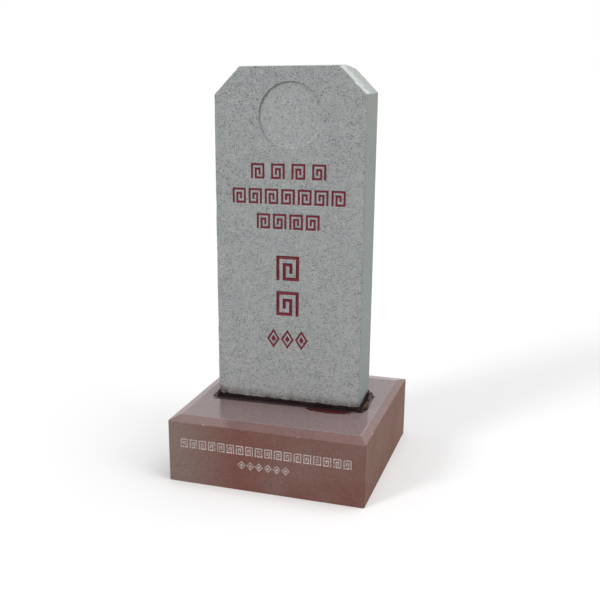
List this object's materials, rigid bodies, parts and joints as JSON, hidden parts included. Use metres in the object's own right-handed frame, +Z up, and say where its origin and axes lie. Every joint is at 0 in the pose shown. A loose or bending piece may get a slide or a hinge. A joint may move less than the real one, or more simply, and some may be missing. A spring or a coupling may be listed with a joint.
{
  "type": "boundary marker stone",
  "caption": "Upright granite slab with cut top corners, tenoned and mortared into a square polished stone plinth, with painted grooved marks on both front faces.",
  "frame": {"origin": "middle of the plinth's underside, on the ground", "axes": "+Z up the stele, +Y towards the back, so the face with the marks looks along -Y, and +X to the right of someone facing it"},
  "size_m": [0.6, 0.6, 1.2],
  "materials": {
    "grey_granite": "bush-hammered front, sawn sides, light grey with dark and pale specks",
    "red_granite": "polished red-brown granite",
    "mortar": "rough dark weathered cement mortar",
    "red_paint": "brushed enamel in cut grooves, slightly faded",
    "pale_paint": "thin pale enamel in fine grooves, worn"
  },
  "bodies": {
    "root": {"stele": "grey_granite", "plinth": "red_granite", "mortar_joint": "mortar", "front_paint": "red_paint", "plinth_paint": "pale_paint"}
  },
  "joints": []
}
